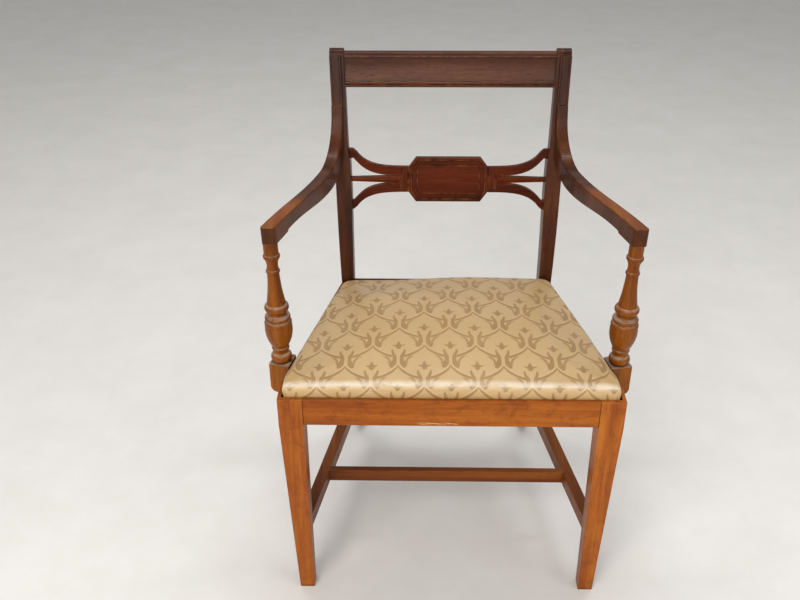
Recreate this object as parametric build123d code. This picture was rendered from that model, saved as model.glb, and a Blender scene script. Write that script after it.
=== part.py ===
from build123d import *
import math
import os

# Wooden armchair with a lift-out upholstered seat, in millimetres.
# X runs across, Y from front to back, Z up, with the floor at Z = 0.
# Pieces are laid out with the front faces of the legs at Y = 0 and centred together at the end.
# Right-hand pieces, at positive X, are modelled and the left-hand ones mirrored.

# Seat frame
seat_front_width = 564.0
seat_rear_width = 408.0
seat_depth = 384.0
rail_top = 425.0
rail_height = 52.0
rail_thick = 22.0
back_rail_thick = 28.0
back_rail_set = 16.0
rail_bevel = 3.0
lip_front = 8.0
lip_side = 6.0
lip_back = 2.0
rabbet_depth = 12.0
edge_ease = 1.2

# Front legs
leg_width = 41.0
leg_depth = 43.0
leg_foot = 26.0

# Rear posts, with the levels of the back measured down from their tops
post_height = 863.0
post_width = 29.0
plumb_drop = 263.0
post_depth = 40.0
post_top_depth = 25.0
rear_foot_depth = 31.0
post_lean = 1.7
back_rake = 11.5
back_bend_radius = 800.0
back_bend_start = 7.0
post_back_pull = 0.6
rear_leg_radius = 760.0
rear_leg_start = 10.0
shoulder_step = 3.0
shoulder_drop = 173.0
shoulder_length = 35.0

# Raised moulding up the front of each stile
facing_width = 20.8
facing_proud = 3.6
facing_drop = 10.5
bead_width = 4.4
bead_proud = 1.6

# Crest rail
crest_drop = 2.4
crest_height = 62.4
crest_thick = 20.0
crest_set = 2.0
crest_low_bead = 5.0
crest_bead_bulge = 1.6
crest_scoop = 1.4
crest_field_sink = 1.8

# Pierced cross splat
splat_drop = 231.0
splat_thick = 12.0
splat_set = 5.0
tablet_half_length = 73.0
tablet_half_height = 41.5
tablet_corner_run = 13.0
tablet_corner_rise = 17.5
tablet_proud = 3.0
tablet_border = 5.0
tablet_band = 10.0
tablet_band_sink = 1.8
tablet_bevel = 1.2
neck_half_length = 91.0
neck_groove = 2.0
neck_groove_depth = 1.2
prong_reach = 180.5
prong_rise = 48.5
prong_knob_radius = 9.0
prong_lap = 8.0
prong_gap = 1.0
prong_upper_aim = (0.7, 1.0)
prong_upper_pull = (1.6, 0.9)
prong_lower_aim = (-0.8, -0.9)
prong_lower_pull = (0.8, 1.75)
dart_root = 6.6
dart_tip = 3.4
dart_ridge = 2.6
splat_tenon = 8.0

# Arms
arm_front = 82.0
arm_rise = 91.0
arm_front_rise = 17.0
arm_width = 24.0
arm_thick = 32.0
arm_front_thick = 27.0
arm_front_x = 301.5
arm_bow = 4.0
arm_sweep_radius = 90.0
arm_joint_drop = 95.0
arm_block_length = 50.0
arm_block_drop = 3.0
arm_under_share = 0.77
arm_front_round = 5.0
arm_ease = 2.5

# Turned arm supports, each with a square foot on the outside of the side rail
support_setback = 105.0
support_foot = 38.0
support_foot_depth = 36.0
support_foot_rise = 5.0
support_foot_round = 12.0
support_tenon_radius = 8.0
support_tenon = 18.0
support_drawn = 234.0
support_lean = 1.0
support_sink = 0.6

# Stretchers
stretcher_top = 150.0
stretcher_height = 28.0
stretcher_thick = 20.0
cross_setback = 154.5
cross_height = 26.0
cross_thick = 12.0
tenon_length = 12.0
tenon_cheek = 5.0
cross_cheek = 3.5

# Joinery
dowel_radius = 4.0
dowel_length = 40.0
dowel_pitch = 18.0
dowel_floor = 10.0
back_dowel_grip = 10.0
crest_dowel_grip = 14.0
block_reach = 50.0
block_thick = 24.0
block_drop = 2.5
screw_radius = 2.2
screw_head_radius = 4.2
screw_head_height = 2.6
screw_bite = 13.0
block_screw_cover = 11.0
block_screw_from_corner = 30.0
block_screw_stagger = 5.0
arm_screw_cover = 16.0
arm_screw_drop = 78.0
arm_screw_pitch = 15.0
support_screw_floor = 14.0
support_screw_pitch = 18.0

# Lift-out seat
seat_gap = 0.6
seat_front_corner = 8.0
seat_rear_corner = 22.0
cover_thick = 1.2
cover_draw = 2.2
cover_turn = 26.0
pad_gap = 0.3
seat_edge_front = 447.0
seat_edge_back = 443.0
crown_rise = 18.0
crown_edge_rise = 1.5
crown_steps = 5
edge_roll = 6.5
frame_thick = 16.0
frame_member = 48.0
web_width = 50.0
web_thick = 1.2
web_long_count = 4
web_cross_count = 3
web_hold = 30.0
hessian_thick = 0.8
hessian_inset = 6.0
dust_inset = 21.5
dust_thick = 0.8
tack_inset = 24.0
tack_head_radius = 4.0
tack_head_sides = 12
tack_head_height = 0.8
tack_shank = 2.0
tack_length = 5.5
tack_pitch = 105.0

# Levels and plan lines that several pieces share
rail_low = rail_top - rail_height
rabbet_floor = rail_top - rabbet_depth
crown_top = seat_edge_front + crown_rise
post_plumb = post_height - plumb_drop
shoulder_high = post_height - shoulder_drop
shoulder_low = shoulder_high - shoulder_length
facing_top = post_height - facing_drop
crest_high = post_height - crest_drop
crest_low = crest_high - crest_height
splat_middle = post_height - splat_drop
arm_joint = post_height - arm_joint_drop
arm_dip = arm_joint - arm_rise
arm_top_front = arm_dip + arm_front_rise
arm_screw_low = arm_joint - arm_screw_drop
front_half = seat_front_width / 2
rear_half = seat_rear_width / 2
side_slope = (front_half - rear_half) / (seat_depth - leg_depth)
side_angle = math.degrees(math.atan(side_slope))
side_normal = Vector(math.cos(math.radians(side_angle)), math.sin(math.radians(side_angle)), 0)
side_along = Vector(-side_normal.Y, side_normal.X, 0)
rail_across = rail_thick / side_normal.X
lean_slope = math.tan(math.radians(post_lean))
back_face_y = seat_depth + back_rail_set - back_rail_thick
rake_sin = math.sin(math.radians(back_rake))
rake_cos = math.cos(math.radians(back_rake))
bend_z = rail_top + back_bend_start
rake_y = seat_depth + back_bend_radius * (1 - rake_cos)
rake_z = bend_z + back_bend_radius * rake_sin
back_plane = Plane(origin=(0, rake_y, rake_z), x_dir=(1, 0, 0), z_dir=(0, -rake_cos, rake_sin))
wide = seat_front_width


def side_x(y):
    """Outer half-width of the seat frame at the depth y."""
    return front_half - (y - leg_depth) * side_slope


def post_outer(z):
    """Outer face of a rear post at the height z."""
    return rear_half + (z - rail_top) * lean_slope


def post_inner(z):
    """Inner face of a rear post without its shoulder: plumb from the rails up to post_plumb."""
    drop = max(rail_low - z, 0.0)
    return post_outer(max(z, post_plumb)) - post_width - drop * lean_slope


def up_back(z):
    """Distance up the raked plane of the back at the height z."""
    return (z - rake_z) / rake_cos


def back_y(z):
    """Front of the posts at a height z on the straight part of the rake."""
    return rake_y + (z - rake_z) * rake_sin / rake_cos


def back_point(x, z, forward=0.0):
    """Point on the raked plane of the back, moved forward along its normal."""
    return back_plane.from_local_coords((x, up_back(z), forward))


def prism(points, low, high):
    """Upright solid on a plan polygon."""
    return Pos(0, 0, low) * extrude(make_face(Polyline(*points, close=True)), high - low)


def across(face):
    """Side-view face, drawn as (Y, Z), made solid over the whole width."""
    return extrude(Plane.YZ * face, wide, both=True)


def rod(start, direction, length, radius):
    """Round bar from a point along a direction."""
    return Plane(origin=start, z_dir=direction) * extrude(Circle(radius), length)


def dowel(centre, direction, grip=dowel_length / 2):
    """Dowel through a joint face, with the grip on the far side."""
    direction = Vector(*direction).normalized()
    start = Vector(*centre) - direction * (dowel_length / 2)
    return rod(start, direction, dowel_length / 2 + grip, dowel_radius)


def screw(head, direction, length):
    """Countersunk screw with its flat head at the start."""
    plane = Plane(origin=head, z_dir=direction)
    outline = Polyline(
        (0, 0),
        (screw_head_radius, 0),
        (screw_radius, screw_head_height),
        (screw_radius, length),
        (0, length),
        close=True,
    )
    return plane * revolve(Plane.XZ * make_face(outline), Axis.Z)


def eased(part, direction):
    """Part with its long edges along a direction rounded over."""
    edges = [edge for edge in part.edges() if abs((edge % 0.5).dot(direction)) > side_normal.X]
    return fillet(edges, edge_ease)


def left(part):
    """Mirror image on the other side of the chair."""
    return mirror(part, about=Plane.YZ)


def joined(parts):
    """Separate solids kept as one group."""
    return Compound(list(parts))


# Plan of the pocket that holds the seat, shrunk by an inset, with rounded corners where asked for
def seat_plan(inset, rounded=False, trim=0.0):
    side = lip_side / side_normal.X
    front_x = front_half - lip_side
    turn_y = leg_depth + (front_half - side - front_x) / side_slope
    rear_y = seat_depth - lip_back
    rear_x = side_x(rear_y) - side
    half = [(front_x, lip_front), (front_x, turn_y), (rear_x, rear_y)]
    points = half + [(-x, y) for x, y in reversed(half)]
    face = make_face(Polyline(*points, close=True))
    if inset:
        face = offset(face, -inset, kind=Kind.INTERSECTION)
    if rounded:
        face = fillet(face.vertices().sort_by(Axis.Y)[2:], seat_rear_corner - trim)
        face = fillet(face.vertices().sort_by(Axis.Y)[:2], seat_front_corner - trim)
    return face


def seat_slab(inset, low, high, rounded=False):
    return Pos(0, 0, low) * extrude(seat_plan(inset, rounded), high - low)


seat_pocket = seat_slab(0, rabbet_floor, crown_top)
leg_pocket = seat_slab(0, rabbet_floor - block_drop, crown_top)


# Front leg, tapered on its outer and back faces below the rails
def front_leg():
    inner = front_half - leg_width
    head = prism(
        [(inner, 0), (front_half, 0), (front_half, leg_depth), (inner, leg_depth)],
        rail_low,
        rail_top,
    )
    top = Plane.XY.offset(rail_low) * Pos(inner, 0) * Rectangle(leg_width, leg_depth, align=Align.MIN)
    foot = Pos(inner, 0) * Rectangle(leg_foot, leg_foot, align=Align.MIN)
    leg = head + loft([foot.face(), top.face()], ruled=True)
    return eased(leg, Vector(0, 0, 1))


# Side view of a rear post: foot, upright stretch at the rails and raked, rolled top
def post_side():
    low = rail_low - rear_leg_start
    front_bend = JernArc((seat_depth, bend_z), (0, 1), back_bend_radius, -back_rake)
    roll = post_top_depth / 2
    roll_z = post_height - roll * (1 - rake_sin)
    top_front = Vector(back_y(roll_z), roll_z)
    top_back = top_front + Vector(rake_cos, -rake_sin) * post_top_depth
    top_middle = (top_front + top_back) / 2 + Vector(rake_sin, rake_cos) * roll
    back_edge = Spline(
        (seat_depth + post_depth, bend_z),
        top_back,
        tangents=((0, 1), (rake_sin, rake_cos)),
        tangent_scalars=(post_back_pull, 1),
    )
    leg_turn = math.degrees(math.asin(low / rear_leg_radius))
    front_leg_edge = JernArc((seat_depth, low), (0, -1), rear_leg_radius, leg_turn)
    foot = front_leg_edge @ 1
    back_leg_edge = Spline(
        (seat_depth + post_depth, low),
        (foot.X + rear_foot_depth, 0),
        tangents=((0, -1), front_leg_edge % 1),
    )
    return make_face(
        [
            Line(front_leg_edge @ 0, front_bend @ 0),
            front_bend,
            Line(front_bend @ 1, top_front),
            ThreePointArc(top_front, top_middle, top_back),
            back_edge,
            Line(back_edge @ 0, back_leg_edge @ 0),
            back_leg_edge,
            Line(back_leg_edge @ 1, foot),
            front_leg_edge,
        ]
    )


post_side_face = post_side()


# Front view of the right-hand post, leaning out, narrower above the shoulder
def post_front():
    top = post_height
    return make_face(
        [
            Line((post_outer(0), 0), (post_outer(top), top)),
            Line((post_outer(top), top), (post_inner(top) + shoulder_step, top)),
            Line(
                (post_inner(top) + shoulder_step, top),
                (post_inner(shoulder_high) + shoulder_step, shoulder_high),
            ),
            Spline(
                (post_inner(shoulder_high) + shoulder_step, shoulder_high),
                (post_inner(shoulder_low), shoulder_low),
                tangents=((-lean_slope, -1), (-lean_slope, -1)),
            ),
            Polyline(
                (post_inner(shoulder_low), shoulder_low),
                (post_inner(post_plumb), post_plumb),
                (post_inner(rail_low), rail_low),
                (post_inner(0), 0),
                (post_outer(0), 0),
            ),
        ]
    )


# Strip up the face of the stile, following its lean, between two distances from the outer edge
def stile_strip(near, far, low, high, proud):
    corners = [
        (post_outer(low) - near, up_back(low)),
        (post_outer(high) - near, up_back(high)),
        (post_outer(high) - far, up_back(high)),
        (post_outer(low) - far, up_back(low)),
    ]
    return extrude(back_plane * make_face(Polyline(*corners, close=True)), proud)


def rear_post():
    body = across(post_side_face) & extrude(Plane.XZ * post_front(), -wide)
    body = fillet([edge for edge in body.edges() if edge.length > post_depth], edge_ease)
    field = stile_strip(0, facing_width, arm_joint, facing_top, facing_proud)
    bead_high = facing_proud + bead_proud
    beads = [
        stile_strip(near, near + bead_width, arm_joint, facing_top, bead_high)
        for near in (0, facing_width - bead_width)
    ]
    rounded = []
    for bead in beads:
        crowns = bead.faces().sort_by(lambda face: back_plane.to_local_coords(face.center()).Z)[-1]
        rails = crowns.edges().sort_by(SortBy.LENGTH)[-2:]
        rounded.append(fillet(rails, bead_proud))
    return body + field + rounded


# Crest rail with a rounded top, a scooped field and two beads below
def crest_rail():
    low = up_back(crest_low)
    high = up_back(crest_high)
    face = -crest_set
    sunk = face - crest_field_sink
    field_low = low + 2 * crest_low_bead
    field_high = high - crest_thick / 2
    outline = [
        Line((face - crest_thick, low), (face, low)),
        SagittaArc((face, low), (face, low + crest_low_bead), -crest_bead_bulge),
        SagittaArc((face, low + crest_low_bead), (face, field_low), -crest_bead_bulge),
        Line((face, field_low), (sunk, field_low)),
        SagittaArc((sunk, field_low), (sunk, field_high), crest_scoop),
        Line((sunk, field_high), (face, field_high)),
        ThreePointArc(
            (face, field_high),
            (face - crest_thick / 2, high),
            (face - crest_thick, field_high),
        ),
        Line((face - crest_thick, field_high), (face - crest_thick, low)),
    ]
    section = Plane(origin=back_plane.origin, x_dir=back_plane.z_dir, z_dir=(-1, 0, 0))
    return extrude(section * make_face(outline), post_outer(crest_high) - post_width / 2, both=True)


# Octagonal outline of the tablet, shrunk by an inset
def tablet(inset=0.0):
    x_side = tablet_half_length
    x_top = x_side - tablet_corner_run
    v_top = tablet_half_height
    v_side = v_top - tablet_corner_rise
    quarter = [(x_side, v_side), (x_top, v_top)]
    points = quarter + [(-x, v) for x, v in reversed(quarter)]
    points += [(-x, -v) for x, v in quarter] + [(x, -v) for x, v in reversed(quarter)]
    face = make_face(Polyline(*points, close=True))
    return offset(face, -inset, kind=Kind.INTERSECTION) if inset else face


# Upper right prong: a strip that curves up from the neck to a round knob at the stile
def prong():
    root_top = tablet_half_height - tablet_corner_rise
    root_low = dart_root + prong_gap
    root_in = neck_half_length - prong_lap
    root_out = neck_half_length + prong_lap
    knob = (prong_reach, prong_rise)
    above = (prong_reach - prong_knob_radius, prong_rise + prong_knob_radius / 2)
    below = (prong_reach - prong_knob_radius / 2, prong_rise - prong_knob_radius)
    strip = make_face(
        [
            Line((root_in, root_low), (root_in, root_top)),
            Spline(
                (root_in, root_top),
                above,
                tangents=((1, 0), prong_upper_aim),
                tangent_scalars=prong_upper_pull,
            ),
            Line(above, knob),
            Line(knob, below),
            Spline(
                below,
                (root_out, root_low),
                tangents=(prong_lower_aim, (-1, 0)),
                tangent_scalars=prong_lower_pull,
            ),
            Line((root_out, root_low), (root_in, root_low)),
        ]
    )
    return strip + Pos(*knob) * Circle(prong_knob_radius)


# Straight dart between the prongs, with a ridge down its middle
def dart_ridges(reach):
    root = Plane(origin=(neck_half_length, 0, 0), x_dir=(0, 1, 0), z_dir=(1, 0, 0))
    tip = Plane(origin=(reach, 0, 0), x_dir=(0, 1, 0), z_dir=(1, 0, 0))
    sections = []
    for plane, half, height in ((root, dart_root, dart_ridge), (tip, dart_tip, dart_ridge / 2)):
        outline = Polyline((-half, 0), (half, 0), (0, height), close=True)
        sections.append((plane * make_face(outline)).face())
    right = loft(sections, ruled=True)
    return right, left(right)


def back_splat():
    reach = post_outer(splat_middle) - post_width / 2
    upper = prong()
    fret = make_face(
        Polyline(
            (neck_half_length, tablet_half_height - tablet_corner_rise),
            (neck_half_length, dart_root),
            (reach, dart_tip),
            (reach, -dart_tip),
            (neck_half_length, -dart_root),
            (neck_half_length, tablet_corner_rise - tablet_half_height),
            (0, tablet_corner_rise - tablet_half_height),
            (0, tablet_half_height - tablet_corner_rise),
            close=True,
        )
    )
    fret = fret + upper + mirror(upper, about=Plane.XZ)
    fret = fret + mirror(fret, about=Plane.YZ) + tablet()
    body = extrude(fret, -splat_thick)
    body = body + dart_ridges(reach)
    raised = extrude(tablet(), tablet_proud)
    raised = chamfer(raised.faces().sort_by(Axis.Z)[-1].edges(), tablet_bevel)
    band = extrude(tablet(tablet_border), tablet_proud)
    band = band - extrude(tablet(tablet_border + tablet_band), tablet_proud)
    band = Pos(0, 0, tablet_proud - tablet_band_sink) * band
    body = body + (raised - band)
    for x in (tablet_half_length + neck_groove, neck_half_length - 2 * neck_groove):
        groove = Box(neck_groove, tablet_half_height * 2, neck_groove_depth)
        groove = Pos(x, 0, -neck_groove_depth / 2) * groove
        body = body - groove - left(groove)
    return back_plane * Pos(0, up_back(splat_middle), -splat_set) * body


# Side view of an arm: level, dipping a little, then sweeping up the front of the stile
def arm_side():
    proud = facing_proud + bead_proud
    turn = 90 - back_rake
    rise = arm_sweep_radius * (1 - math.cos(math.radians(turn)))
    face_y = back_y(arm_dip + rise) - proud / rake_cos
    dip_y = face_y - arm_sweep_radius * math.sin(math.radians(turn))
    sweep = JernArc((dip_y, arm_dip), (1, 0), arm_sweep_radius, turn)
    end = (back_y(arm_joint) - proud / rake_cos, arm_joint)
    inside = (back_y(arm_joint) + post_depth / 2, arm_joint - proud)
    block_end = arm_front + arm_block_length
    under_front = arm_top_front - arm_front_thick
    block_low = under_front - arm_block_drop
    under_radius = arm_sweep_radius + arm_thick
    under_sweep = JernArc((dip_y, arm_dip - arm_thick), (1, 0), under_radius, turn * arm_under_share)
    band = make_face(
        [
            Spline((arm_front, arm_top_front), (dip_y, arm_dip), tangents=((1, 0), (1, 0))),
            sweep,
            Line(sweep @ 1, end),
            Line(end, inside),
            Line(inside, under_sweep @ 1),
            under_sweep,
            Spline(
                (dip_y, arm_dip - arm_thick),
                (block_end, under_front),
                tangents=((-1, 0), (-1, 0)),
            ),
            Line((block_end, under_front), (block_end - arm_block_drop, block_low)),
            Line((block_end - arm_block_drop, block_low), (arm_front, block_low)),
            Line((arm_front, block_low), (arm_front, arm_top_front)),
        ]
    )
    return band - post_side_face


arm_block_low = arm_top_front - arm_front_thick - arm_block_drop


# Plan of an arm, drawn at the height of its top joint
def arm_plan():
    rear_y = back_y(arm_joint)
    rear_x = post_outer(arm_joint)
    front_shift = (arm_joint - arm_top_front) * lean_slope
    edges = []
    for front_inset, rear_inset in ((0, 0), (arm_width, facing_width)):
        front = Vector(arm_front_x + front_shift - front_inset, arm_front)
        rear = Vector(rear_x - rear_inset, rear_y)
        middle = (front + rear) / 2 - Vector(arm_bow, 0)
        edges.append(ThreePointArc(front, middle, rear))
    outer, inner = edges
    behind = Vector(0, post_depth)
    return make_face(
        [
            outer,
            Line(outer @ 1, outer @ 1 + behind),
            Line(outer @ 1 + behind, inner @ 1 + behind),
            Line(inner @ 1 + behind, inner @ 1),
            inner,
            Line(inner @ 0, outer @ 0),
        ]
    )


def arm():
    lean = Vector(lean_slope, 0, 1)
    plan = Pos(0, 0, arm_joint) * arm_plan()
    drop = arm_joint - arm_block_low + arm_thick
    blank = across(arm_side()) & extrude(plan, drop, dir=-lean)
    uprights = [edge for edge in blank.edges() if abs((edge % 0.5).Z) > side_normal.X]
    blank = fillet(ShapeList(uprights).group_by(Axis.Y)[0], arm_front_round)
    upward = []
    for face in blank.faces():
        normal = face.normal_at(face.center())
        if abs(normal.X) < normal.Z:
            upward.append(face)
    edges = []
    for face in ShapeList(upward).sort_by(SortBy.AREA)[1:]:
        edges += [edge for edge in face.edges() if abs((edge % 0.5).X) < side_normal.X]
    edges.append(blank.edges().filter_by(Axis.X).group_by(Axis.Y)[0].sort_by(Axis.Z)[-1])
    return fillet(edges, arm_ease)


# Axis of a turned support, set out from the side rail by half its square foot
rail_spot = Vector(side_x(support_setback), support_setback, 0)
support_axis = rail_spot + side_normal * (support_foot / 2)
support_base = rail_top + support_foot_rise

# Turning from the foot up, on a column as high as support_drawn:
# rise of each member, radius at its top, swell of its outline
support_turning = (
    (1.5, 15.5, 0.0),
    (13.5, 15.5, 2.4),
    (1.5, 13.6, 0.0),
    (7.0, 13.2, -1.6),
    (6.0, 13.2, 1.8),
    (44.0, 22.6, 4.0),
    (9.0, 19.6, 1.6),
    (8.0, 19.6, 2.0),
    (9.0, 17.6, -4.0),
    (12.0, 17.6, 2.8),
    (1.5, 16.0, 0.0),
    (57.0, 10.0, -1.2),
    (7.0, 10.0, 1.6),
    (19.0, 12.0, -1.6),
    (9.0, 12.0, 2.0),
)


def turned_column():
    radius = support_turning[0][1]
    height = support_base
    stretch = (arm_block_low - support_base) / support_drawn
    outline = [Polyline((0, height - support_sink), (radius, height - support_sink), (radius, height))]
    for rise, next_radius, swell in support_turning:
        start = (radius, height)
        height += rise * stretch
        end = (next_radius, height)
        bulge = swell * stretch
        outline.append(SagittaArc(start, end, -bulge) if bulge else Line(start, end))
        radius = next_radius
    shoulder = arm_block_low + support_sink
    tenon_top = arm_block_low + support_tenon
    outline.append(
        Polyline(
            (radius, height),
            (radius, shoulder),
            (support_tenon_radius, shoulder),
            (support_tenon_radius, tenon_top),
            (0, tenon_top),
            (0, support_base - support_sink),
        )
    )
    return revolve(Plane.XZ * make_face(outline), Axis.Z)


# Square foot of the support, rounded under its outer face
def support_block():
    section = make_face(
        Polyline(
            (support_foot_depth, rail_low),
            (support_foot_depth, support_base),
            (0, support_base),
            (0, rail_low),
            close=True,
        )
    )
    section = fillet(section.vertices().group_by(Axis.X)[-1].sort_by(Axis.Y)[0], support_foot_round)
    plane = Plane(origin=rail_spot, x_dir=side_normal, z_dir=-side_along)
    return eased(extrude(plane * section, support_foot / 2, both=True), Vector(0, 0, 1))


# The column leans out to the arm, and is let into the foot and the arm at its ends
def arm_support():
    place = Pos(support_axis.X, support_axis.Y, support_base) * Rot(0, support_lean, 0)
    return support_block() + place * Pos(0, 0, -support_base) * turned_column()


# Rails
def front_rail():
    inner = front_half - leg_width
    bar = prism([(-inner, 0), (inner, 0), (inner, rail_thick), (-inner, rail_thick)], rail_low, rail_top)
    lower_front = bar.edges().filter_by(Axis.X).group_by(Axis.Z)[0].sort_by(Axis.Y)[0]
    return eased(chamfer(lower_front, rail_bevel), Vector(1, 0, 0))


def side_rail():
    outer_front = (front_half, leg_depth)
    outer_rear = (rear_half, seat_depth)
    inner_rear = (rear_half - rail_across, seat_depth)
    inner_front = (front_half - rail_across, leg_depth)
    bar = prism([outer_front, outer_rear, inner_rear, inner_front], rail_low, rail_top)
    return eased(bar, side_along)


def back_rail():
    corners = [(post_inner(rail_low), rail_low), (post_inner(rail_top), rail_top)]
    points = corners + [(-x, z) for x, z in reversed(corners)]
    face = Plane.XZ.offset(-back_face_y) * make_face(Polyline(*points, close=True))
    return extrude(face, -back_rail_thick)


# Stretchers, flush with the inner faces of the legs, with a stub tenon at each end
def bar_between(start, end, width, height, top):
    """Level bar of a given section between two plan points."""
    along = end - start
    plane = Plane(origin=(start.X, start.Y, top - height / 2), x_dir=(0, 0, 1), z_dir=along)
    return extrude(plane * Rectangle(height, width), along.length)


stretcher_middle = stretcher_top - stretcher_height / 2
leg_taper = (rail_low - stretcher_middle) / rail_low
leg_back_y = leg_depth - (leg_depth - leg_foot) * leg_taper


def post_front_at(z):
    """Front of a rear leg below the rails, at the height z."""
    drop = rail_low - rear_leg_start - z
    return seat_depth + rear_leg_radius - math.sqrt(rear_leg_radius**2 - drop**2)


flush = stretcher_thick / 2
stretcher_front = Vector(front_half - leg_width + flush, leg_back_y, 0)
stretcher_rear = Vector(post_inner(stretcher_middle) + flush, post_front_at(stretcher_middle), 0)
stretcher_dir = (stretcher_rear - stretcher_front).normalized()


def side_stretcher(extra, trim):
    return bar_between(
        stretcher_front - stretcher_dir * extra,
        stretcher_rear + stretcher_dir * extra,
        stretcher_thick - 2 * trim,
        stretcher_height - 2 * trim,
        stretcher_top - trim,
    )


def cross_stretcher(extra, trim):
    share = (cross_setback - stretcher_front.Y) / (stretcher_rear.Y - stretcher_front.Y)
    end_x = stretcher_front.X + (stretcher_rear.X - stretcher_front.X) * share
    reach = end_x - stretcher_thick / 2 + extra
    return bar_between(
        Vector(-reach, cross_setback, 0),
        Vector(reach, cross_setback, 0),
        cross_thick - 2 * trim,
        cross_height - 2 * trim,
        stretcher_top - trim,
    )


# Corner blocks across the inside corners of the seat frame
block_top = rabbet_floor - block_drop
block_low = block_top - block_thick
front_corner = Vector(side_x(rail_thick) - rail_across, rail_thick, 0)
rear_corner = Vector(side_x(back_face_y) - rail_across, back_face_y, 0)


def corner_block(corner, rail_reach, side_reach):
    """Three-cornered block from an inside corner along the two rails."""
    points = [corner, corner - Vector(rail_reach, 0, 0), corner + side_along * side_reach]
    return prism([(point.X, point.Y) for point in points], block_low, block_top)


def front_block():
    return corner_block(front_corner, block_reach + leg_width / 2, block_reach + leg_depth / 2)


def rear_block():
    return corner_block(rear_corner, block_reach, -block_reach)


# Two screws in a block, one into each rail, with their heads sunk below the sloping face
def block_screws(rail_spot_x, rail_y, toward_rail, side_y):
    middle = (block_low + block_top) / 2
    side_spot = Vector(side_x(side_y) - rail_across, side_y, middle - block_screw_stagger)
    spots = (
        (Vector(rail_spot_x, rail_y, middle + block_screw_stagger), Vector(0, toward_rail, 0)),
        (side_spot, side_normal),
    )
    screws = []
    bores = []
    for spot, direction in spots:
        head = spot - direction * block_screw_cover
        screws.append(screw(head, direction, block_screw_cover + screw_bite))
        bores.append(rod(head, -direction, block_reach + leg_width, screw_head_radius))
    return screws, bores


# Screws through the back of each stile into the arm, under wooden plugs
def arm_fixings(post):
    forward = back_plane.z_dir
    screws = []
    plugs = []
    for z in (arm_screw_low, arm_screw_low + arm_screw_pitch):
        head = back_point(post_outer(z) - facing_width / 2, z, -arm_screw_cover)
        screws.append(screw(head, forward, arm_screw_cover + screw_bite))
        plugs.append(rod(head, -forward, post_depth, screw_head_radius) & post)
    return screws, plugs


# Screws through each side rail into the foot of the arm support
def support_fixings():
    start = rail_spot - side_normal * rail_thick
    levels = (support_screw_floor, support_screw_floor + support_screw_pitch)
    return [
        screw(start + Vector(0, 0, rail_low + level), side_normal, rail_thick + screw_bite)
        for level in levels
    ]


# Dowels of the seat frame and the crest rail, on the right-hand side
dowel_levels = (rail_low + dowel_floor, rail_low + dowel_floor + dowel_pitch)
back_dowel_levels = [z + dowel_pitch / 2 for z in dowel_levels]


def front_rail_dowels():
    x = front_half - leg_width
    return [dowel((x, rail_thick / 2, z), (1, 0, 0)) for z in dowel_levels]


def side_rail_dowels():
    half = rail_across / 2
    front = [dowel((front_half - half, leg_depth, z), -side_along) for z in dowel_levels]
    rear = [dowel((rear_half - half, seat_depth, z), side_along) for z in dowel_levels]
    return front + rear


def back_rail_dowels():
    y = seat_depth + back_rail_set / 2
    return [dowel((post_inner(z), y, z), (1, 0, 0), back_dowel_grip) for z in back_dowel_levels]


def crest_dowels():
    depth = -crest_set - crest_field_sink - crest_thick / 2
    pins = []
    for z in (crest_low + dowel_pitch, crest_high - dowel_pitch):
        spot = back_point(post_inner(z) + shoulder_step, z, depth)
        pins.append(dowel(spot, (1, 0, 0), crest_dowel_grip))
    return pins


# Levels of the layers in the lift-out seat
frame_low = rabbet_floor + cover_thick
frame_top = frame_low + frame_thick
cross_web_low = frame_top + web_thick
hessian_low = cross_web_low + web_thick
pad_low = hessian_low + hessian_thick
frame_inset = seat_gap + cover_thick + cover_draw
seat_middle_y = (lip_front + seat_depth - lip_back) / 2


# Crown of the cushion: arcs across the seat, highest in the middle, that run out past its edges
def crown(inset):
    reach = (seat_depth - lip_back - lip_front) / 2 + edge_roll
    sections = []
    for step in range(crown_steps):
        share = step / (crown_steps - 1)
        y = seat_middle_y + reach * (2 * share - 1)
        half = side_x(y) + edge_roll
        edge = seat_edge_front + (seat_edge_back - seat_edge_front) * share - inset
        rise = crown_edge_rise + (crown_rise - crown_edge_rise) * 4 * share * (1 - share)
        section = make_face(
            [
                Polyline((half, edge), (half, frame_low), (-half, frame_low), (-half, edge)),
                ThreePointArc((-half, edge), (0, edge + rise), (half, edge)),
            ]
        )
        sections.append((Plane.XZ.offset(-y) * section).face())
    return loft(sections)


# Crowned cushion with a rolled edge and sides drawn in towards the bottom
def cushion(inset, low):
    plan = Pos(0, 0, frame_top) * seat_plan(seat_gap + inset, True, inset)
    upper = extrude(plan, crown_top - frame_top) & crown(inset)
    rim = upper.faces().sort_by(Axis.Z)[-1].edges()
    upper = fillet(rim, edge_roll - inset)
    draw_angle = math.degrees(math.atan(cover_draw / frame_thick))
    lower = extrude(plan, frame_top - low, dir=(0, 0, -1), taper=draw_angle)
    return upper + lower


def seat_cover():
    opening = seat_slab(cover_turn, rabbet_floor, frame_top)
    return cushion(0, rabbet_floor) - cushion(cover_thick, frame_low) - opening


def seat_pad():
    return cushion(cover_thick + pad_gap, frame_low) - seat_slab(0, frame_low, pad_low)


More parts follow.
